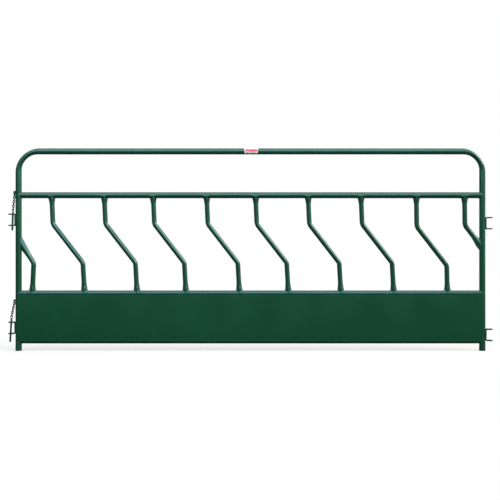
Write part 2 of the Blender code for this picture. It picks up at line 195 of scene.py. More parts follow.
# The four kinds of bar end: how steeply each flares, how far its collar runs in from the flap's
# edge, and for a half bar the half depth and the squareness of its end at the stile
FLARE_RISE = {"top": 1.1, "foot": 2.3, "left": 1.1, "right": 1.3}
COLLAR_RUN = {"top": 0.009, "foot": 0.006}
STILE_FLARE = {"left": (0.0150, 2.3), "right": (0.0150, 6.0)}

LOOP_HEIGHTS = {"left_upper_loop": 1.0190, "left_lower_loop": 0.1776,
                "right_upper_loop": 0.9925, "right_lower_loop": 0.1230}
LINKS = 6  # on each chain, between its anchor link and its pin link
LUG_SIZES = {"upper": (0.0175, 0.0130, 0.034), "lower": (0.0175, 0.0130, 0.016)}

# The gap that neighbours keep, how far the sheet laps the stiles and the bottom rail past their
# axes and starts below the lower rail's, and how far forward and back a weld may reach
FIT = 0.0003
SIDE_LAP, BOTTOM_LAP, TOP_DROP = 0.0015, 0.0012, 0.0056
WELD_FRONT, WELD_BACK = -0.0259, 0.0251
CONTACT_RUB = 0.42  # how worn the enamel is where a pin, a loop or the ground bears on it

# Points round a section of each kind
TUBE_SIDES, BAR_SIDES, ROD_SIDES, WIRE_SIDES, PIN_SIDES = 56, 64, 24, 20, 40


# Surfaces

def unit(vectors):
    """Each vector divided by its length."""
    return vectors / np.linalg.norm(vectors, axis=-1, keepdims=True)


def smooth(low, high, values):
    """A smooth step: 0 below low, 1 above high, 3 t^2 - 2 t^3 between."""
    t = np.clip((values - low) / (high - low), 0, 1)
    return t * t * (3 - 2 * t)


def turns(count):
    """Even angles round a section, half a step off so that no point lies on an axis."""
    return 2 * np.pi * (np.arange(count) + 0.5) / count


def grid(x, y, z):
    """Points from coordinates that are spread to one shape."""
    return np.stack(np.broadcast_arrays(x, y, z), axis=-1)


def border(surface):
    """The points round a grid's four sides, in one loop."""
    return np.concatenate([surface[0], surface[1:, -1], surface[-1, -2::-1], surface[-2:0:-1, 0]])


def distances(path):
    """Distance of each point from the start, measured along the path."""
    return np.concatenate([[0.0], np.cumsum(np.linalg.norm(np.diff(path, axis=0), axis=1))])


def read_at(at, along, vectors):
    """Vectors that are known at the distances along, read at other distances."""
    return np.stack([np.interp(at, along, vectors[:, axis]) for axis in range(3)], axis=-1)


def rounded_path(corners, radii, spacing, closed=False):
    """A run of straight pieces and arcs through corners, each corner rounded by its radius.

    An arc starts radius * tan(half turn) before its corner. Its points are the centre plus
    radius * (first spoke * sin(rest of turn) + last spoke * sin(turn so far)) / sin(turn). With
    the run come each arc's middle, the way to its inner side, and its turn.
    """
    corners = np.asarray(corners, float)
    count = len(corners)
    pieces = [] if closed else [corners[:1]]
    middles = []
    for index in range(count) if closed else range(1, count - 1):
        corner, radius = corners[index], radii[index]
        come = unit(corner - corners[index - 1])
        go = unit(corners[(index + 1) % count] - corner)
        turn = np.arccos(np.clip(come @ go, -1, 1))
        back = radius * np.tan(turn / 2)
        inside = unit(go - come)
        centre = corner + inside * np.hypot(back, radius)
        first = (corner - come * back - centre) / radius
        last = (corner + go * back - centre) / radius
        part = np.linspace(0, turn, max(4, int(radius * turn / spacing) + 1))[:, None]
        arc = centre + radius * (first * np.sin(turn - part) + last * np.sin(part)) / np.sin(turn)
        pieces.append(arc)
        middles.append((arc[len(arc) // 2], inside, turn))
    if not closed:
        pieces.append(corners[-1:])
    run = []
    for index, piece in enumerate(pieces):
        run.append(piece)
        if index + 1 < len(pieces) or closed:
            start, stop = piece[-1], pieces[(index + 1) % len(pieces)][0]
            steps = int(np.linalg.norm(stop - start) / spacing)
            if steps > 1:
                run.append(start + (stop - start) * (np.arange(1, steps) / steps)[:, None])
    return np.concatenate(run), middles


def resampled(path, count, closed):
    """The same path with points at even distances."""
    if closed:
        path = endless(path)
    along = distances(path)
    return read_at(np.linspace(0, along[-1], count, endpoint=not closed), along, path)


def level_axes(path):
    """Axes across a path that lies in an upright plane: its normal in that plane, and Y."""
    ahead = unit(np.gradient(path, axis=0))
    side = unit(grid(-ahead[:, 2], 0.0, ahead[:, 0]))
    return side, np.broadcast_to(DEPTH, side.shape)


def ring_axes(path):
    """Axes across an endless path: away from its middle, and square to that and the path."""
    ahead = unit(np.roll(path, -1, axis=0) - np.roll(path, 1, axis=0))
    away = path - path.mean(axis=0)
    side = unit(away - ahead * np.sum(away * ahead, axis=1, keepdims=True))
    return side, np.cross(ahead, side)


def round_tube(path, side, other, radius, around):
    """Point = path + radius * (side * cos(turn) + other * sin(turn)), a row for each ring."""
    turn = turns(around)
    across, out = (np.asarray(radius * wave(turn))[..., None] for wave in (np.cos, np.sin))
    return path[:, None] + side[:, None] * across + other[:, None] * out


def with_poles(points):
    """Close both ends of a tube at the mean of their rings."""
    start, stop = (np.broadcast_to(points[end].mean(axis=0), points[:1].shape) for end in (0, -1))
    return np.concatenate([start, points, stop])


def endless(points):
    """Join a path's or a tube's last row to its first."""
    return np.concatenate([points, points[:1]])


def uneven(count, step, rng):
    """Smooth random values from -1 to 1, a fresh one every few rows, joined by a smooth step."""
    fresh = rng.uniform(-1, 1, count // step + 3)
    at = np.arange(count) / step
    low = at.astype(int)
    ease = smooth(0, 1, at - low)
    return fresh[low] * (1 - ease) + fresh[low + 1] * ease


def seam(ring, size, height=None):
    """The line of a weld of this size along a tube's end, held in from the panel's two faces.

    On a rail of this height it lies a little past the rail's axis, on the lip of the flap.
    """
    thick, past_axis = 1.34 * size, 0.0015
    line = ring.copy()
    line[:, 1] = np.clip(line[:, 1], WELD_FRONT + thick, WELD_BACK - thick)
    if height is not None:
        line[:, 2] += np.sign(height - np.mean(ring[:, 2])) * past_axis
    return line


def bead(path, size, pitch, rng, closed):
    """A rippled weld.

    Radius = size * (1 + 0.16 * cos(2 pi * distance / pitch + cos(turn)) + 0.14 * unevenness), so
    each ripple is a crescent. An open bead thins out towards both ends as a sixth power.
    """
    rows_a_ripple, around = 5, 8
    total = distances(endless(path) if closed else path)[-1]
    rows = max(2, int(round(total / pitch))) * rows_a_ripple + (0 if closed else 1)
    path = resampled(path, rows, closed)
    if closed:
        side, other = ring_axes(path)
    else:
        ahead = unit(np.gradient(path, axis=0))
        level = DEPTH if abs(ahead[0] @ DEPTH) < 0.7 else UP
        other = unit(np.cross(ahead, np.broadcast_to(level, ahead.shape)))
        side = np.cross(ahead, other)
    ripple = 2 * np.pi * np.arange(rows)[:, None] / rows_a_ripple
    waver = uneven(rows, 11, rng)[:, None]
    radius = size * (1 + 0.16 * np.cos(ripple + np.cos(turns(around))) + 0.14 * waver)
    if not closed:
        part = np.linspace(-1, 1, rows)[:, None]
        radius = radius * np.sqrt(np.clip(1.0004 - part ** 6, 0.0004, 1))
    points = round_tube(path, side, other, radius, around)
    return endless(points) if closed else with_poles(points)


def face_corners(rows, columns, offset):
    """Corner numbers of the four sided faces of a grid that is numbered row by row."""
    row, column = np.meshgrid(np.arange(rows - 1), np.arange(columns - 1), indexing="ij")
    first = (row * columns + column).ravel() + offset
    return np.stack([first, first + 1, first + columns + 1, first + columns], axis=1)


def make_mesh(name, grids):
    """One mesh of these grids."""
    starts = np.cumsum([0] + [points.shape[0] * points.shape[1] for points in grids])
    points = np.concatenate([points.reshape(-1, 3) for points in grids])
    faces = [face_corners(*points.shape[:2], start) for points, start in zip(grids, starts)]
    mesh = bpy.data.meshes.new(name)
    mesh.from_pydata(points.tolist(), [], np.concatenate(faces).tolist())
    return mesh


def add_object(name, data):
    made = bpy.data.objects.new(name, data)
    bpy.context.scene.collection.objects.link(made)
    return made


def make_piece(name, tubes, node=None, body="panel", finish="tube_finish", slot="tube_enamel",
               sheets=(), sharp=50, **laid):
    """Put surfaces into one mesh, weld their seams and poles and let the piece ride on its body.

    A tube's columns are joined round by repeating the first one. A sheet's aren't. laid gives a
    value to each vertex from its coordinates: rub is how far its enamel is worn, and thick how
    far its colour goes to the deeper green, which on the sheet is painted shade.
    """
    round_again = [np.concatenate([tube, tube[:, :1]], axis=1) for tube in tubes]
    mesh = make_mesh(name, round_again + list(sheets))
    shell = bmesh.new()
    shell.from_mesh(mesh)
    bmesh.ops.remove_doubles(shell, verts=shell.verts, dist=0.000002)
    bmesh.ops.dissolve_degenerate(shell, edges=shell.edges, dist=0.000001)
    bmesh.ops.recalc_face_normals(shell, faces=shell.faces)
    shell.to_mesh(mesh)
    shell.free()
    mesh.shade_smooth()
    mesh.set_sharp_from_angle(angle=math.radians(sharp))
    where = np.empty(len(mesh.vertices) * 3)
    mesh.vertices.foreach_get("co", where)
    for label, measure in laid.items():
        values = measure(where.reshape(-1, 3)).astype(np.float32)
        mesh.attributes.new(label, "FLOAT", "POINT").data.foreach_set("value", values)
    mesh.materials.append(bpy.data.materials[finish])
    piece = add_object(name, mesh)
    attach(piece, body)
    if node:
        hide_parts(node)


# Tubes and sheet

def open_tube(path, radius, wall, flat, wrinkle):
    """A tube with its wall: the outside, a rounded lip, the bore and the other lip, in one loop.

    Where it is bent it is flat * 100 % narrower in the plane of the bend and a quarter of that
    wider across it. On the bend's inner side the radius is less by wrinkle * cos(turn)^2.
    """
    side, other = level_axes(path)
    ahead = np.cross(side, other)
    narrow, wide = side * (1 - flat)[:, None], other * (1 + flat / 4)[:, None]
    skin = radius - wrinkle[:, None] * np.clip(-np.cos(turns(TUBE_SIDES)), 0, 1) ** 2
    turn = np.pi * np.linspace(0, 1, 5)[1:-1, None]
    lips = []
    for end, way in ((-1, -1), (0, 1)):
        ends = path[end] - way * ahead[end] * (wall / 2 * np.sin(turn))
        axes = [np.broadcast_to(axis[end], ends.shape) for axis in (side, other)]
        reach = radius - wall / 2 + wall / 2 * np.cos(turn)
        lips.append(round_tube(ends, *axes, reach, TUBE_SIDES))
    outside, bore = (round_tube(path, narrow, wide, reach, TUBE_SIDES)
                     for reach in (skin, skin - wall))
    return endless(np.concatenate([outside, lips[0], bore[::-1], lips[1][::-1]]))


def coped_rail(height, tubes, rows=41):
    """A straight tube along X whose ends follow the stiles.

    x = share * (stile place - sqrt(R^2 - y^2)), with R a little inside the stile's face.
    """
    y, z = (tubes.frame_radius * wave(turns(TUBE_SIDES)) for wave in (np.cos, np.sin))
    sunk = tubes.frame_radius - 0.0004
    reach = tubes.stile_x - np.sqrt(np.clip(sunk ** 2 - y ** 2, 0, None))
    return grid(np.linspace(-1, 1, rows)[:, None] * reach, y, height + z)


def sheet_edges(tubes):
    """The sheet's half length and the heights of its lower and upper edges."""
    return tubes.stile_x + SIDE_LAP, tubes.bottom_rail_z - BOTTOM_LAP, tubes.lower_rail_z - TOP_DROP


def feet_wave(x):
    """1 at each bar's foot and -1 midway between two: cos(2 pi (x - first foot) / bar pitch)."""
    return np.cos(2 * np.pi * (x - FIRST_FOOT_X) / BAR_PITCH)


def sheet_surface(tubes):
    """The sheet's front, its back and the rim between them.

    Half width at height z = side - max(0, z - (top - clip)), which clips the top corners. The
    front is drawn in by ripple * sin^2(pi v) * (0.5 - 0.5 * wave of the feet), so the edges stay
    flat and the sheet dips between the bars' feet, and its lower edge stands forward by the lift.
    """
    side, bottom, top = sheet_edges(tubes)
    clip_z = top - tubes.sheet_clip
    heights = [np.linspace(bottom, top, 30), bottom + np.linspace(0.002, 0.008, 4), [clip_z]]
    z = np.unique(np.concatenate(heights))[:, None]
    x = np.linspace(-1, 1, 361) * (side - np.clip(z - clip_z, 0, None))
    v = (z - bottom) / (top - bottom)
    dip = np.sin(np.pi * v) ** 2 * (0.5 - 0.5 * feet_wave(x)) * smooth(0, 0.12, side - np.abs(x))
    thick = tubes.sheet_thickness
    front = -(tubes.frame_radius + FIT + thick) + tubes.sheet_ripple * dip
    front = front + tubes.edge_lift * smooth(0, 0.008, z - bottom)
    faces = [grid(x, front + deep, z) for deep in (0.0, thick)]
    rim = [border(faces[0]) + DEPTH * deep * thick for deep in (0.0, 0.15, 0.5, 0.85, 1.0)]
    return faces, np.stack(rim)


def bar_corners(index, tubes):
    """The corners of a full bar's axis, from the mid rail down to the lower rail."""
    off, part, drop = BARS_BY_HAND[index]
    top = FIRST_BAR_X + index * BAR_PITCH + off
    upper = top + part * UPPER_LEG[0]
    lower = upper + SLANT_RUN
    foot = lower + part * LOWER_LEG[0]
    return np.array([(top, 0, tubes.mid_rail_z), (upper, 0, tubes.mid_rail_z + UPPER_LEG[1] - drop),
                     (lower, 0, tubes.lower_rail_z - LOWER_LEG[1] - drop),
                     (foot, 0, tubes.lower_rail_z)])


def rounded(turn, width, depth, power):
    """Distance from a superellipse's middle: (|cos / width|^p + |sin / depth|^p)^(-1 / p)."""
    parts = np.abs(np.cos(turn) / width) ** power + np.abs(np.sin(turn) / depth) ** power
    return parts ** (-1 / power)


def larger(first, second, ease=0.0016):
    """The larger of two lengths, plus (ease - difference)^2 / (4 ease) where they cross."""
    crossing = np.clip(ease - np.abs(first - second), 0, None)
    return np.maximum(first, second) + crossing ** 2 / (4 * ease)


def rail_saddle(kind, far, turn, bars, tubes):
    """The flap over a rail: its depth and squareness, the bar's tongue and the ridge.

    The flap's depth is sqrt((rail radius + lip)^2 - distance^2), and near its edge at least rail
    radius + lip + collar * distance / run. The middle of the bar's front and back leans out to
    the flap as a tongue that narrows towards its end.
    """
    stand, run = tubes.frame_radius + bars.saddle_lip, COLLAR_RUN[kind]
    fade, back_share, soft, square = 0.006, 0.6, 4, 14
    flap = np.sqrt(np.clip(stand ** 2 - far ** 2, 0, None))
    collar = stand + np.where(turn > np.pi, 1.0, back_share) * bars.collar * far / run
    flap = np.maximum(flap, collar * (1 - smooth(run, run + fade, far)))
    power = soft + (square - soft) * (1 - smooth(0.020, 0.032, far))
    start, reach, proud, roundness, sharpness = 0.004, 0.072, 0.0002, 2.7, 14
    narrow = (0.4 + 0.6 * smooth(start, 0.030, far)) * (1 - 0.75 * smooth(0.035, 0.074, far))
    rise = (stand - bars.bar_radius) * np.clip(1 - (far - start) / reach, 0, 1)
    rise = bars.bar_radius + rise + proud * smooth(0.076, 0.060, far)
    tongue = rounded(turn, bars.tongue_width / 2 * narrow, rise, roundness)
    ridge = bars.ridge * np.abs(np.sin(turn)) ** sharpness
    ridge = ridge * smooth(0.003, 0.010, flap) * smooth(0.002, 0.012, far)
    return np.maximum(flap, bars.flare_depth), power, tongue, ridge


def pressed_outline(kind, far, turn, bars, tubes):
    """A bar's outline at a distance from the axis of what it meets, as a distance from its own.

    It is the larger of the bar itself, pressed in a little, and the flare, whose half width is
    slim + (wide - slim) * (1 - distance / flare)^rise.
    """
    slim, slant_sine, circle, ease = 0.92 * bars.bar_radius, 0.6, 2.0, 0.0010
    if kind in COLLAR_RUN:
        wide, start, press = bars.saddle_width / 2, 0.0, bars.press
        depth, power, tongue, ridge = rail_saddle(kind, far, turn, bars, tubes)
    else:
        wide, start = bars.stile_width / 2, tubes.frame_radius / slant_sine
        press = bars.bar_radius - bars.stile_depth
        (depth, power), tongue, ridge = STILE_FLARE[kind], 0.0, 0.0
    part = np.clip(1 - np.clip(far - start, 0, None) / getattr(bars, kind + "_flare"), 0, 1)
    plain = rounded(turn, bars.bar_radius, bars.bar_radius - press * smooth(0, 1, part), circle)
    flare = rounded(turn, slim + (wide - slim) * part ** FLARE_RISE[kind], depth, power)
    return np.where(part > 0, larger(plain, larger(flare, tongue, ease)) + ridge, plain)


def cut_start(kind, outline, ahead, side, turn, radius):
    """How far along a bar its skin comes out of the rail or stile, found by halving.

    A point is inside while depth^2 + rise^2 < radius^2, rise being its distance from the rail's
    axis.
    """
    axis, furthest, halvings = 2 if kind in COLLAR_RUN else 0, 0.075, 24
    low, high = np.zeros((1, len(turn))), np.full((1, len(turn)), furthest)
    for _ in range(halvings):
        middle = (low + high) / 2
        size = outline(middle)
        rise = middle * abs(ahead[axis]) + np.sign(ahead[axis]) * side[axis] * size * np.cos(turn)
        inside = (size * np.sin(turn)) ** 2 + rise ** 2 < radius ** 2
        low, high = np.where(inside, middle, low), np.where(inside, high, middle)
    return low


def bar_skin(corners, ends, bars, tubes):
    """A bar: a pressed outline carried along a bent path and cut to the rail or stile at both ends.

    On the inner side of a bend the section is clipped at the line in which the two straight runs
    would meet, bend radius - (bend radius - bar radius) / cos(half turn - angle from the middle),
    less crease * exp(-(d / 4 mm)^2). Its faces swell by bulge * exp(-(d / crush)^2).
    """
    path, middles = rounded_path(corners, [bars.bend_radius] * len(corners), 0.0025)
    along = distances(path)
    side, _ = level_axes(path)
    side[0] = side[1]
    turn = turns(BAR_SIDES)
    stations = np.broadcast_to(along[:, None], (len(path), len(turn))).copy()

    def outline(end, far):
        return pressed_outline(ends[end], far, turn, bars, tubes)

    zone, crease_half, kept = 0.105, 0.004, 0.08
    for end, (here, there) in enumerate(((0, 1), (-1, -2))):
        ahead = unit(corners[there] - corners[here])
        start = cut_start(ends[end], lambda far: outline(end, far), ahead, side[here], turn,
                          tubes.frame_radius - 0.0005)
        far = along[-1] - stations if end else stations
        moved = np.where(far < zone, start + far / zone * (zone - start), far)
        stations = along[-1] - moved if end else moved

    size = larger(outline(0, stations), outline(1, along[-1] - stations), 0.00001)
    across, out = size * np.cos(turn), size * np.sin(turn)
    gap = bars.bend_radius - bars.bar_radius
    for middle, inside, whole in middles:
        spot = along[np.argmin(np.linalg.norm(path - middle, axis=1))]
        away = np.abs(stations - spot)
        way = np.sign(read_at(spot, along, side) @ inside)
        rest = whole / 2 - away / bars.bend_radius
        limit = bars.bend_radius - gap / np.cos(np.clip(rest, 0, None))
        crease = bars.crease_depth * np.exp(-(away / crease_half) ** 2)
        limit = np.where(rest > 0, limit, 1.0) - crease
        over = way * across - limit
        across = np.where(over > 0, way * (limit + kept * over), across)
        swell = bars.bend_bulge * np.exp(-(away / bars.crush_length) ** 2)
        out = out + np.sign(out) * swell * np.abs(np.sin(turn))
    sideways = unit(read_at(stations, along, side))
    return read_at(stations, along, path) + sideways * across[..., None] + DEPTH * out[..., None]


# Hardware

def turned_y(points, angle, pivot):
    """Points turned about Y, x' = x cos + z sin and z' = z cos - x sin, then moved to the pivot."""
    cos, sin = math.cos(angle), math.sin(angle)
    x, y, z = np.moveaxis(points, -1, 0)
    return grid(x * cos + z * sin, y, z * cos - x * sin) + pivot


def link_surface(hardware, edge_on, top):
    """A link at its own pivot: a round wire on a stadium of two half circles and two straights.

    A link of thicker wire than 5 mm is longer by as much, so that neighbours still bear on each
    other. One straight side has the link's butt weld, radius * (1 + 0.10 * exp(-(d / 1.8 mm)^2)).
    """
    half, plain_wire, weld_height, weld_half = hardware.link_radius, 0.0025, 0.10, 0.0018
    spare = 2 * (hardware.wire_radius - plain_wire)
    low, top = top - hardware.link_straight - spare, top + spare
    corners = [(x, 0, z) for x, z in ((half, top + half), (-half, top + half),
                                      (-half, low - half), (half, low - half))]
    path, _ = rounded_path(corners, [half * 0.9999] * 4, 0.0008, closed=True)
    path = resampled(path, 72, True)
    across = path[:, 0]
    if edge_on:
        path = path[:, (1, 0, 2)]
    gap = np.where(across > 0, path[:, 2] - (top + low) / 2, 1.0)
    radius = hardware.wire_radius * (1 + weld_height * np.exp(-(gap / weld_half) ** 2))
    return endless(round_tube(path, *ring_axes(path), radius[:, None], WIRE_SIDES))


def link_rub(hardware, top, angle, pivot):
    """How worn a link is: most on the inner side of its two ends, where its neighbours bear."""
    def rub(where):
        x, y, z = turned_y(where - pivot, -angle, 0).T
        past = np.maximum(z - top, top - hardware.link_straight - z)
        reach = np.hypot(np.hypot(x, y), np.clip(past, 0, None))
        inner = (hardware.link_radius - reach) / hardware.wire_radius
        return 0.6 * smooth(0.1, 0.9, inner) * smooth(-0.001, 0.002, past)
    return rub


def pin_surface(hardware, bottom):
    """A pin turned about its own axis: head with an eased edge, shank and chamfered tip."""
    head, r = -hardware.pin_drop, hardware.pin_radius
    profile = ((0, head), (r - 0.0012, head), (r - 0.0004, head - 0.0004), (r, head - 0.0014),
               (r, head - 0.012), (r, bottom + 0.03), (r, bottom + 0.0042),
               (r - 0.0004, bottom + 0.0030), (r - 0.0016, bottom + 0.0004), (r - 0.0026, bottom),
               (0, bottom))
    turn = turns(PIN_SIDES)
    radius, z = np.array(profile).T[..., None]
    return grid(radius * np.cos(turn), radius * np.sin(turn), z)


def loop_path(way, height, tubes, hardware):
    """An endless rod: two level U shapes joined by two uprights that lie along the stile."""
    half, wide = hardware.loop_spacing / 2, hardware.loop_half_width
    hold = tubes.frame_radius + hardware.rod_radius + FIT
    near, far = math.sqrt(hold ** 2 - wide ** 2), tubes.frame_radius + hardware.loop_tip
    bend, tip = hardware.loop_bend, wide * 0.9999
    level = [(near, -wide, bend), (far, -wide, tip), (far, wide, tip), (near, wide, bend)]
    run = [(*spot, -half) for spot in level] + [(*spot, half) for spot in level[::-1]]
    corners = [(way * (tubes.stile_x + x), y, height + z) for x, y, _, z in run]
    return rounded_path(corners, [radius for _, _, radius, _ in run], 0.002, closed=True)[0]


def lug_surface(size, centre, rng):
    """A lump of weld: a rounded box, each coordinate a signed power of a sphere's, with ripples."""
    rise, turn = np.linspace(-np.pi / 2, np.pi / 2, 33)[:, None], turns(36)
    bluntness, pitch, swell, waver = 0.55, 0.0038, 0.035, 0.03
    level, up, x, y = (np.sign(values) * np.abs(values) ** bluntness
                       for values in (np.cos(rise), np.sin(rise), np.cos(turn), np.sin(turn)))
    body = grid(level * x, level * y, up)
    z = body[..., 2] * size[2] / 2
    ripple = 1 + swell * np.cos(2 * np.pi * z / pitch)
    ripple = ripple + waver * uneven(len(rise), 5, rng)[:, None]
    return centre + body * np.array(size) / 2 * grid(ripple, ripple, 1.0)


# Materials

class Nodes:
    """A shader's node tree, with short ways to add what the materials and the stage need."""

    def __init__(self, tree):
        self.tree = tree

    def put(self, socket, value):
        """Link a socket to another one, or set its value."""
        if isinstance(value, bpy.types.NodeSocket):
            self.tree.links.new(value, socket)
        else:
            socket.default_value = value

    def add(self, kind, values=(), **settings):
        """A node with its settings and the values of its named or numbered inputs."""
        made = self.tree.nodes.new("ShaderNode" + kind)
        for setting, value in settings.items():
            setattr(made, setting, value)
        for socket, value in dict(values).items():
            self.put(made.inputs[socket], value)
        return made.outputs

    def group(self, name, values):
        return self.add("Group", values, node_tree=bpy.data.node_groups[name])

    def maths(self, operation, *values, clamp=False):
        return self.add("Math", enumerate(values), operation=operation, use_clamp=clamp)[0]

    def spot(self):
        return self.add("TexCoord")["Object"]

    def laid(self, label):
        """What make_piece laid on the vertices, or 0."""
        return self.add("Attribute", attribute_name=label)["Fac"]

    def noise(self, scale, detail, roughness=0.5):
        """A noise over the piece's own coordinates."""
        return self.add("TexNoise", {"Vector": self.spot(), "Scale": scale, "Detail": detail,
                                     "Roughness": roughness})["Fac"]

    def ramp(self, source, low, high):
        """A smooth 0 to 1 between two values of a source."""
        return self.add("MapRange", {"Value": source, "From Min": low, "From Max": high},
                        interpolation_type="SMOOTHSTEP")["Result"]

    def blend(self, factor, first, second):
        """A colour between two colours."""
        return self.add("Mix", {0: factor, 6: first, 7: second}, data_type="RGBA")[2]

    def mirrored(self, rays):
        """1 for what is seen in gloss or through glass."""
        return self.maths("ADD", rays["Is Glossy Ray"], rays["Is Transmission Ray"])

    def show(self, output, factor, first, second):
        """Send a mix of two shaders to this output."""
        mixed = self.add("MixShader", {0: factor, 1: first, 2: second})[0]
        self.put(self.tree.nodes[output].inputs["Surface"], mixed)


def new_material(name):
    """A material, its nodes and the inputs of its Principled BSDF."""
    material = bpy.data.materials.new(name)
    material.use_nodes = True
    nodes = Nodes(material.node_tree)
    return material, nodes, material.node_tree.nodes["Principled BSDF"].inputs


def shader_group(name, inputs, outputs):
    """A node group: its nodes, the values of its inputs and the sockets of its outputs.

    An input that starts as a colour is one, and so is an output named Colour.
    """
    tree = bpy.data.node_groups.new(name, "ShaderNodeTree")
    for label, value in inputs.items():
        kind = "NodeSocketColor" if isinstance(value, tuple) else "NodeSocketFloat"
        tree.interface.new_socket(label, in_out="INPUT", socket_type=kind).default_value = value
    for label in outputs:
        kind = "NodeSocketColor" if label == "Colour" else "NodeSocketFloat"
        tree.interface.new_socket(label, in_out="OUTPUT", socket_type=kind)
    inside, outside = (tree.nodes.new("NodeGroup" + end) for end in ("Input", "Output"))
    return Nodes(tree), inside.outputs, outside.inputs


def build_enamel_flow():
    """Two greens mixed by two noises, for enamel of uneven thickness, and by the thick attribute,
    which is painted shade.
    """
    nodes, given, result = shader_group(
        "enamel_flow", {"Thin": (0, 0.1, 0, 1), "Thick": (0, 0.05, 0, 1), "Patch Scale": 3.0,
                        "Roughness": 0.3, "Spread": 0.05}, ("Colour", "Roughness"))
    slow = nodes.noise(given["Patch Scale"], 4.0, 0.55)
    both = nodes.maths("MULTIPLY", slow, 0.78)
    both = nodes.maths("MULTIPLY_ADD", nodes.noise(160.0, 2.0), 0.22, both)
    # On the sheet the thick attribute darkens the enamel as painted shade
    both = nodes.ramp(nodes.maths("ADD", both, nodes.laid("thick")), 0.36, 0.64)
    nodes.put(result["Colour"], nodes.blend(both, given["Thin"], given["Thick"]))
    rough = nodes.maths("SUBTRACT", slow, 0.5)
    rough = nodes.maths("MULTIPLY_ADD", rough, given["Spread"], given["Roughness"])
    nodes.put(result["Roughness"], rough)


def build_orange_peel():
    """The enamel's fine ripple: two noises, one of about 3 mm and one of about 0.8 mm."""
    nodes, given, result = shader_group("orange_peel", {"Fineness": 1.0}, ("Height",))
    broad, grain = (nodes.noise(nodes.maths("MULTIPLY", given["Fineness"], scale), 1.0)
                    for scale in (330.0, 1200.0))
    nodes.put(result["Height"], nodes.maths("MULTIPLY_ADD", grain, 0.25, broad))


def build_rubbed_through():
    """Bare steel where the rub attribute and a noise together pass a threshold."""
    nodes, given, result = shader_group(
        "rubbed_through", {"Enamel": (0, 0.1, 0, 1), "Steel": (0.3, 0.3, 0.3, 1), "Roughness": 0.3},
        ("Colour", "Metallic", "Roughness"))
    worn = nodes.maths("MULTIPLY_ADD", nodes.laid("rub"), 0.62, nodes.noise(420.0, 5.0, 0.7))
    bare = nodes.ramp(worn, 0.86, 0.94)
    nodes.put(result["Colour"], nodes.blend(bare, given["Enamel"], given["Steel"]))
    nodes.put(result["Metallic"], bare)
    nodes.put(result["Roughness"], nodes.add("Mix", {0: bare, 2: given["Roughness"], 3: 0.38})[0])


def opaque(value):
    return (*value, 1.0)


def enamel(name, thin, thick, roughness, patch, peel, fineness, gloss, finish):
    """Green enamel over steel: flow, rubbed places and orange peel into one Principled BSDF."""
    material, nodes, shader = new_material(name)
    flow = nodes.group("enamel_flow", {
        "Thin": opaque(thin), "Thick": opaque(thick), "Patch Scale": patch, "Roughness": roughness,
        "Spread": 0.16})
    worn = nodes.group("rubbed_through", {"Enamel": flow["Colour"], "Steel": opaque(finish.steel),
                                          "Roughness": flow["Roughness"]})
    ripple = nodes.group("orange_peel", {"Fineness": fineness})
    bump = nodes.add("Bump", {"Height": ripple["Height"], "Strength": peel, "Distance": 0.0004})
    for socket, value in (("Base Color", worn["Colour"]), ("Metallic", worn["Metallic"]),
                          ("Roughness", worn["Roughness"]), ("Normal", bump["Normal"]),
                          ("Specular IOR Level", gloss), ("Specular Tint", opaque(finish.sheen))):
        nodes.put(shader[socket], value)
    material.diffuse_color = opaque(thin)


def label_vinyl(finish, centre, size):
    """A plain white vinyl band with one red stripe of this half size."""
    material, nodes, shader = new_material("label_vinyl")
    shift = nodes.add("Mapping", {"Vector": nodes.spot(), "Location": [-value for value in centre]},
                      vector_type="POINT")[0]
    parts = nodes.add("SeparateXYZ", {0: shift})
    masks = [nodes.ramp(nodes.maths("ABSOLUTE", parts[axis]), half, half - 0.0006)
             for axis, half in ((0, size[0]), (2, size[1]))]
    grime, white = nodes.ramp(nodes.noise(60.0, 4.0), 0.45, 0.8), finish.label_white
    ground = nodes.blend(grime, opaque(white), opaque(value * 0.86 for value in white))
    stripe = nodes.blend(nodes.maths("MULTIPLY", *masks), ground, opaque(finish.label_red))
    nodes.put(shader["Base Color"], stripe)
    nodes.put(shader["Roughness"], 0.32)


# Operators

class FeederStep:
    """What the steps share: the settings, random numbers from a seed of their own, and welds."""
    seed = 0

    def execute(self, context):
        for settings in GROUPS.values():
            setattr(self, settings.removeprefix("feeder_"), getattr(context.scene, settings))
        self.rng = np.random.default_rng(self.hardware.hand + self.seed)
        self.build()
        return {"FINISHED"}

    def end_weld(self, ring, height=None, part=1.0):
        """A weld round a tube's end, a part of the full size."""
        size = self.hardware.bead * part
        return bead(seam(ring, size, height), size, self.hardware.ripple_pitch, self.rng, True)

    def short_weld(self, middle, way, half, bow=0.0, part=1.0):
        """A straight weld of this half length, whose middle is bowed up."""
        run = middle + np.outer((-half, 0, half), way)
        run[1, 2] += bow
        return bead(run, self.hardware.bead * part, self.hardware.ripple_pitch, self.rng, False)


class FEEDER_OT_finishes(FeederStep, bpy.types.Operator):
    """Make the enamels, each with its gloss, patches and orange peel"""
    bl_idname = "feeder.finishes"
    bl_label = "Finishes"

    def build(self):
        paint = self.finish
        build_enamel_flow()
        build_orange_peel()
        build_rubbed_through()
        # Name, the two greens, roughness, patch scale, peel, fineness of the peel and gloss
        for name, thin, thick, *look in (
                ("tube", "tube_green", "tube_deep", paint.tube_roughness, 3.0, 0.022, 1.0, 0.70),
                ("sheet", "sheet_green", "sheet_deep", paint.sheet_roughness, 2.2, 0.07, 0.8, 0.17),
                ("rod", "rod_green", "tube_deep", 0.42, 30.0, 0.16, 1.5, 0.25),
                ("chain", "chain_green", "tube_deep", 0.48, 60.0, 0.20, 2.0, 0.20),
                ("weld", "tube_green", "rod_green", 0.30, 40.0, 0.20, 1.5, 0.70)):
            enamel(name + "_finish", getattr(paint, thin), getattr(paint, thick), *look, paint)


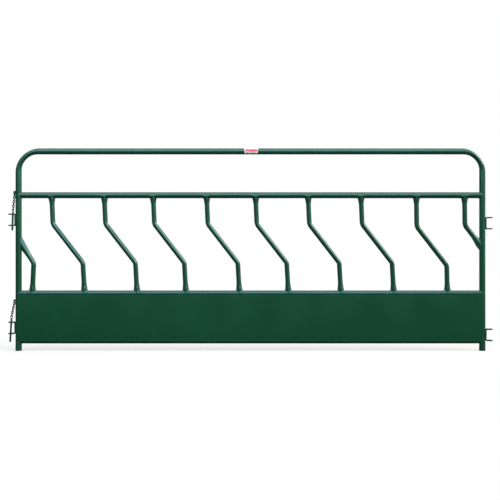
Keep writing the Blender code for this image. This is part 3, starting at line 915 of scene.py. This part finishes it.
class FEEDER_OT_outer_frame(FeederStep, bpy.types.Operator):
    """Bend the frame's tube with its two round corners, a little crushed, and open legs"""
    bl_idname = "feeder.outer_frame"
    bl_label = "Outer frame"

    def build(self):
        tubes = self.tubes
        x, top = tubes.stile_x, tubes.top_z
        corners = [(-x, 0, 0), (-x, 0, top), (x, 0, top), (x, 0, 0)]
        path, middles = rounded_path(corners, [tubes.corner_radius] * 4, 0.0025)
        # Keep the points where it bends and every 24th of the straight runs
        bending = np.abs(np.diff(level_axes(path)[0], axis=0)).sum(axis=1) > 1e-6
        keep = np.concatenate([[True], bending])
        keep |= np.roll(keep, -1) | (np.arange(len(path)) % 24 == 0)
        keep[-1] = True
        path = path[keep]
        # The crush is 1 in the middle of a corner and 0 just past the end of its bend
        away = np.min([np.linalg.norm(path - middle, axis=1) for middle, *_ in middles], axis=0)
        bent = 1 - smooth(0.35, 1.05, away / (tubes.corner_radius * math.radians(45)))
        folds = 0.5 - 0.5 * np.cos(2 * np.pi * distances(path) / tubes.wrinkle_pitch)
        surface = open_tube(path, tubes.frame_radius, tubes.frame_wall, tubes.corner_crush * bent,
                            tubes.wrinkle_depth * folds * bent)
        make_piece("frame_tube", [surface], "outer_frame",
                   rub=lambda where: CONTACT_RUB * (1 - smooth(0.0005, 0.006, where[:, 2])))


class FEEDER_OT_rails(FeederStep, bpy.types.Operator):
    """Cope the three rails to the stiles and weld them on"""
    bl_idname = "feeder.rails"
    bl_label = "Rails"

    def build(self):
        beads = []
        for name in ("mid_rail", "lower_rail", "bottom_rail"):
            surface = coped_rail(getattr(self.tubes, name + "_z"), self.tubes)
            make_piece(name + "_tube", [with_poles(surface)], name)
            beads += [self.end_weld(surface[end], part=1.2) for end in (0, -1)]
        make_piece("rail_welds", beads, finish="weld_finish")


class FEEDER_OT_sheet(FeederStep, bpy.types.Operator):
    """Lay the steel sheet on the front and tack its edges"""
    bl_idname = "feeder.sheet"
    bl_label = "Sheet"
    seed = 1

    def build(self):
        tubes, rng = self.tubes, self.rng
        faces, rim = sheet_surface(tubes)

        def thick(where):
            """Painted shade: darker towards the lower edge, and near the upper one lighter by the
            feet and darker between them, where the sheet is drawn in.
            """
            up = (where[:, 2] - tubes.bottom_rail_z) / (tubes.lower_rail_z - tubes.bottom_rail_z)
            return 0.18 * (0.5 - up) - 0.09 * up * feet_wave(where[:, 0])

        # The thick attribute laid here paints shade into the sheet's enamel
        make_piece("sheet_steel", [rim], "sheet", finish="sheet_finish", slot="sheet_enamel",
                   sheets=faces, sharp=35, thick=thick)
        side, bottom, top = sheet_edges(tubes)
        # Tacks on the two long edges, each a little off its even place, then on the short ones
        first, last, wander, tacks = -1.748, 1.76, 0.012, []
        places = np.arange(first, last, tubes.tack_pitch)
        for height, y in ((top + 0.0014, -0.0229), (bottom + 0.0004, -0.0231)):
            for x in places + rng.uniform(-wander, wander, len(places)):
                tacks.append(self.short_weld((x, y, height), ACROSS, rng.uniform(0.006, 0.010),
                                             bow=rng.uniform(-0.0004, 0.0004)))
        past, y = 0.0006, -0.0234
        for x in (-side - past, side + past):
            for height in (0.357, 0.181, 0.088):
                half = rng.uniform(0.006, 0.009)
                tacks.append(self.short_weld((x, y, height), UP, half, part=0.85))
        make_piece("sheet_tacks", tacks, finish="weld_finish")


class FEEDER_OT_slant_bars(FeederStep, bpy.types.Operator):
    """Bend the eight S shaped bars, press their saddles and weld them to the rails"""
    bl_idname = "feeder.slant_bars"
    bl_label = "Slant bars"
    seed = 2

    def build(self):
        tubes, tops, feet = self.tubes, [], []
        for index in range(len(BARS_BY_HAND)):
            skin = bar_skin(bar_corners(index, tubes), ("top", "foot"), self.bars, tubes)
            make_piece(f"bar_{index + 1}_tube", [with_poles(skin)], f"slant_bar_{index + 1}")
            tops.append(self.end_weld(skin[0], tubes.mid_rail_z))
            feet.append(self.end_weld(skin[-1], tubes.lower_rail_z))
        make_piece("bar_top_welds", tops, finish="weld_finish")
        # The feet's welds take the darker, duller rod enamel: painted shade along the flaps' lower
        # edges
        make_piece("bar_foot_welds", feet, finish="rod_finish")


class FEEDER_OT_half_bars(FeederStep, bpy.types.Operator):
    """Make the two half bars that run from a rail into a stile"""
    bl_idname = "feeder.half_bars"
    bl_label = "Half bars"
    seed = 3

    def build(self):
        beads = []
        for name, way, run, ends in (("left", 1, LEFT_HALF, ("left", "foot")),
                                     ("right", -1, RIGHT_HALF, ("top", "right"))):
            corners = np.array([(way * (inset - self.tubes.stile_x), 0, z) for inset, z in run])
            skin = bar_skin(corners, ends, self.bars, self.tubes)
            make_piece(f"{name}_half_tube", [with_poles(skin)], f"{name}_half_bar")
            beads += [self.end_weld(skin[end]) for end in (0, -1)]
        make_piece("half_bar_welds", beads, finish="weld_finish")


class FEEDER_OT_loops(FeederStep, bpy.types.Operator):
    """Bend the four endless rod loops and stitch them to the stiles"""
    bl_idname = "feeder.loops"
    bl_label = "Loops"
    seed = 4

    def build(self):
        tubes, hardware = self.tubes, self.hardware
        reach = tubes.frame_radius + 0.0008
        hold = tubes.frame_radius + hardware.rod_radius + FIT
        touch = math.asin(hardware.loop_half_width / hold)
        rise, apart, half, stitches = 0.021, 0.13, 0.009, []
        for name, height in LOOP_HEIGHTS.items():
            way = -1 if name.startswith("left") else 1
            path = loop_path(way, height, tubes, hardware)
            surface = endless(round_tube(path, *ring_axes(path), hardware.rod_radius, ROD_SIDES))
            pin_x = way * (tubes.stile_x + tubes.frame_radius + 0.026)

            def rub(where, pin_x=pin_x):
                from_pin = np.hypot(where[:, 0] - pin_x, where[:, 1])
                return CONTACT_RUB * (1 - smooth(0.0115, 0.0150, from_pin))

            make_piece(name + "_rod", [surface], name, "panel", "rod_finish", "rod_enamel", rub=rub)
            for face in (-1, 1):
                for z in (height - rise, height + rise):
                    for angle in (touch - apart, touch + apart):
                        x = way * (tubes.stile_x + reach * math.cos(angle))
                        middle = (x, face * reach * math.sin(angle), z)
                        stitches.append(self.short_weld(middle, UP, half))
        make_piece("loop_welds", stitches, finish="weld_finish", slot="rod_enamel")


class FEEDER_OT_chains(FeederStep, bpy.types.Operator):
    """Hang both chains on their lugs, link by link, with the drop pins at their ends"""
    bl_idname = "feeder.chains"
    bl_label = "Chains and pins"
    seed = 5

    def build(self):
        for name in ("upper", "lower"):
            first = PIVOTS[f"{name}_link_1"]
            run = PIVOTS[f"{name}_pin"] - first
            hang = math.atan2(-run[0], -run[2])
            for link in range(1, LINKS + 1):
                edge_on, body = link % 2 == 0, f"{name}_link_{link}"
                top = -self.hardware.link_hang if edge_on else 0.0
                self.link(f"{name}_wire_link_{link}", f"{name}_chain_link_{link}", body,
                          edge_on, top, hang, PIVOTS[body])
            self.pin(name, getattr(self.hardware, f"{name}_tilt"))
            self.anchor(name, first)

    def link(self, piece, node, body, edge_on, top, angle, pivot):
        """A link that leans by an angle about its pivot."""
        surface = turned_y(link_surface(self.hardware, edge_on, top), angle, pivot)
        make_piece(piece, [surface], node, body, "chain_finish", "chain_enamel",
                   rub=link_rub(self.hardware, top, angle, pivot))

    def pin(self, name, tilt):
        """The last link, the pin under it and the weld between them."""
        hardware, body = self.hardware, f"{name}_pin"
        pivot = PIVOTS[body]
        self.link(f"{name}_head_link", f"{name}_pin_link", body, False, 0.0, tilt, pivot)
        bottom = -(pivot[2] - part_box(f"{name}_drop_pin")[0].z) / math.cos(tilt)
        loop, half = LOOP_HEIGHTS[f"left_{name}_loop"], hardware.loop_spacing / 2

        def rub(where):
            near = np.abs(np.abs(where[:, 2] - loop) - half)
            return CONTACT_RUB * (1 - smooth(0.004, 0.012, near))

        make_piece(f"{name}_pin_rod", [turned_y(pin_surface(hardware, bottom), tilt, pivot)],
                   f"{name}_drop_pin", body, "rod_finish", "rod_enamel", rub=rub, sharp=40)
        turn = turns(PIN_SIDES)
        ring = grid(0.0045 * np.cos(turn), 0.0032 * np.sin(turn), -hardware.pin_drop + 0.0004)
        ring, size, pitch = turned_y(ring, tilt, pivot), 0.0017, hardware.ripple_pitch * 0.7
        weld = bead(ring, size, pitch, self.rng, True)
        make_piece(f"{name}_pin_weld", [weld], None, body, "weld_finish", "rod_enamel")

    def anchor(self, name, first):
        """The ring that holds the chain, sunk at its top in a lump of weld on the stile."""
        hardware, tubes = self.hardware, self.tubes
        sunk, (reach, depth, height) = 0.003, LUG_SIZES[name]
        face = -(tubes.stile_x + tubes.frame_radius)
        bottom = first[2] + hardware.link_hang + hardware.link_straight / 2 - 0.001
        centre = np.array((face - reach / 2 + sunk, 0, bottom + height / 2))
        lug = lug_surface((reach + 2 * sunk, depth, height), centre, self.rng)
        self.link(f"{name}_anchor_ring", f"{name}_anchor_link", "panel", True,
                  hardware.link_hang + hardware.link_straight, 0.0, first)
        make_piece(f"{name}_lug_weld", [lug], finish="weld_finish", slot="chain_enamel")


class FEEDER_OT_label(FeederStep, bpy.types.Operator):
    """Wrap a plain white band with a red stripe on the front of the top tube"""
    bl_idname = "feeder.label"
    bl_label = "Plain label"

    def build(self):
        centre_x, top, half_width, lowest, highest = 0.006, self.tubes.top_z, 0.0525, -45, 66
        stripe_rise, stripe = 0.0062, (0.0495, 0.0098)
        label_vinyl(self.finish, (centre_x, 0.0, top + stripe_rise), stripe)
        turn = np.radians(np.linspace(lowest, highest, 49))[:, None]
        x = centre_x + np.linspace(-half_width, half_width, 41)
        faces = []
        for lift in (0.00005, 0.00022):
            radius = self.tubes.frame_radius + lift
            faces.append(grid(x, -radius * np.cos(turn), top + radius * np.sin(turn)))
        rim = np.stack([border(face) for face in faces])
        make_piece("plain_label", [rim], finish="label_vinyl", sheets=faces)


class FEEDER_OT_stage(FeederStep, bpy.types.Operator):
    """Set the pale floor, the white surround, the lamps and the camera"""
    bl_idname = "feeder.stage"
    bl_label = "Stage"

    def build(self):
        studio = self.studio
        self.floor()
        self.surround()
        sky, tint = studio.sky_light, studio.sky_tint
        self.lamp("front_sky", (-0.6, -6.0, 4.95), (-0.6, 0, 4.95), (9.0, 5.3), sky, tint)
        self.lamp("high_sky", (-0.5, -1.35, 4.6), (-0.5, -1.35, 0), (13.0, 2.7), sky * 0.85, tint)
        self.lamp("right_sky", (17.9, -3.8, 12.2), (0, -1.6, 1.0), (23.8, 9.0), studio.key_light,
                  studio.key_tint)
        self.camera()
        bpy.context.scene.view_settings.view_transform = "Standard"

    def floor(self):
        """A wide plain floor, pale to the camera and dark for the light that it returns.

        Far from the panel the camera sees it white, and so do glossy rays behind the panel.
        """
        studio = self.studio
        half_floor, half_panel = 24.0, 1.9
        steps = np.linspace(-half_floor, half_floor, 25)
        mesh = make_mesh("floor", [grid(steps, steps[:, None], -0.0004)])
        material, nodes, shader = new_material("pale_floor")
        rays = nodes.add("LightPath")
        seen = rays["Is Camera Ray"]
        shown = nodes.blend(seen, opaque(studio.floor_grey), opaque(studio.floor_pale))
        nodes.put(shader["Base Color"], shown)
        nodes.put(shader["Roughness"], 0.9)
        nodes.put(shader["Specular IOR Level"], 0.1)
        parts = nodes.add("SeparateXYZ", {0: nodes.spot()})
        sideways = nodes.maths("SUBTRACT", nodes.maths("ABSOLUTE", parts[0]), half_panel)
        flat = nodes.add("CombineXYZ", {0: nodes.maths("MAXIMUM", sideways, 0.0), 1: parts[1]})[0]
        away = nodes.add("VectorMath", {0: flat}, operation="LENGTH")["Value"]
        behind, far = nodes.ramp(parts[1], 2.5, 6.0), nodes.ramp(away, -2.4, 1.8)
        mirrored = nodes.maths("MULTIPLY", nodes.mirrored(rays), behind)
        faded = nodes.maths("MULTIPLY_ADD", seen, far, mirrored, clamp=True)
        white = nodes.add("Emission", {"Color": (1, 1, 1, 1), "Strength": 1.0})[0]
        nodes.show("Material Output", faded, nodes.tree.nodes["Principled BSDF"].outputs[0], white)
        mesh.materials.append(material)
        floor = add_object("floor", mesh)

    def surround(self):
        """White behind the panel, and a soft light, stronger from the right and from behind."""
        studio = self.studio
        world = bpy.data.worlds.new("white_surround")
        bpy.context.scene.world = world
        world.use_nodes = True
        nodes = Nodes(world.node_tree)
        parts = nodes.add("SeparateXYZ", {0: nodes.add("TexCoord")["Generated"]})
        behind = nodes.ramp(parts[1], 0.55, 0.85)
        soft = nodes.ramp(parts[0], 0.1, 0.9)
        soft = nodes.maths("MULTIPLY_ADD", soft, studio.side_light, studio.room_light)
        soft = nodes.maths("MULTIPLY_ADD", behind, studio.back_light, soft)
        room = nodes.add("Background", {"Color": opaque(studio.room_tint), "Strength": soft})[0]
        rays = nodes.add("LightPath")
        seen = rays["Is Camera Ray"]
        seen = nodes.maths("MULTIPLY_ADD", nodes.mirrored(rays), behind, seen, clamp=True)
        white = nodes.tree.nodes["Background"]
        nodes.put(white.inputs["Color"], (1, 1, 1, 1))
        nodes.show("World Output", seen, room, white.outputs[0])

    def lamp(self, name, spot, aim, size, radiance, tint):
        """A flat lamp that faces its aim. Power = radiance * pi * area."""
        light = bpy.data.lights.new(name, "AREA")
        light.shape = "RECTANGLE"
        light.size, light.size_y = size
        light.energy = radiance * math.pi * size[0] * size[1]
        light.color = tint
        lamp = add_object(name, light)
        lamp.location = spot
        lamp.rotation_euler = (Vector(aim) - Vector(spot)).to_track_quat("-Z", "Y").to_euler()

    def camera(self):
        """A level camera in front, whose lens takes in the view's width at the panel."""
        studio, data = self.studio, bpy.data.cameras.new("photo_view")
        data.sensor_width = 36.0
        data.lens = data.sensor_width * studio.camera_distance / studio.view_width
        camera = add_object("photo_view", data)
        camera.location = (studio.camera_x, -studio.camera_distance, studio.camera_z)
        camera.rotation_euler = (math.radians(90), 0, 0)
        bpy.context.scene.camera = camera


class FEEDER_PT_panel(bpy.types.Panel):
    """The feeder panel's steps and settings"""
    bl_label = "Hay feeder panel"
    bl_idname = "FEEDER_PT_panel"
    bl_space_type = "VIEW_3D"
    bl_region_type = "UI"
    bl_category = "Feeder"

    def draw(self, context):
        for step in STEPS:
            self.layout.operator(step.bl_idname)
        for group, settings in GROUPS.items():
            box = self.layout.box()
            for name in group.__annotations__:
                label = name.replace("_", " ").capitalize()
                box.prop(getattr(context.scene, settings), name, text=label)


GROUPS = {FeederTubes: "feeder_tubes", FeederBars: "feeder_bars", FeederHardware: "feeder_hardware",
          FeederFinish: "feeder_finish", FeederStudio: "feeder_studio"}
STEPS = (FEEDER_OT_finishes, FEEDER_OT_outer_frame, FEEDER_OT_rails, FEEDER_OT_sheet,
         FEEDER_OT_slant_bars, FEEDER_OT_half_bars, FEEDER_OT_loops, FEEDER_OT_chains,
         FEEDER_OT_label, FEEDER_OT_stage)


def register():
    for group, name in GROUPS.items():
        bpy.utils.register_class(group)
        setattr(bpy.types.Scene, name, PointerProperty(type=group))
    for made in (*STEPS, FEEDER_PT_panel):
        bpy.utils.register_class(made)


def unregister():
    for made in (FEEDER_PT_panel, *reversed(STEPS)):
        bpy.utils.unregister_class(made)
    for group, name in GROUPS.items():
        delattr(bpy.types.Scene, name)
        bpy.utils.unregister_class(group)


def main():
    register()
    for step in STEPS:
        family, action = step.bl_idname.split(".")
        getattr(getattr(bpy.ops, family), action)()


if __name__ == "__main__":
    main()
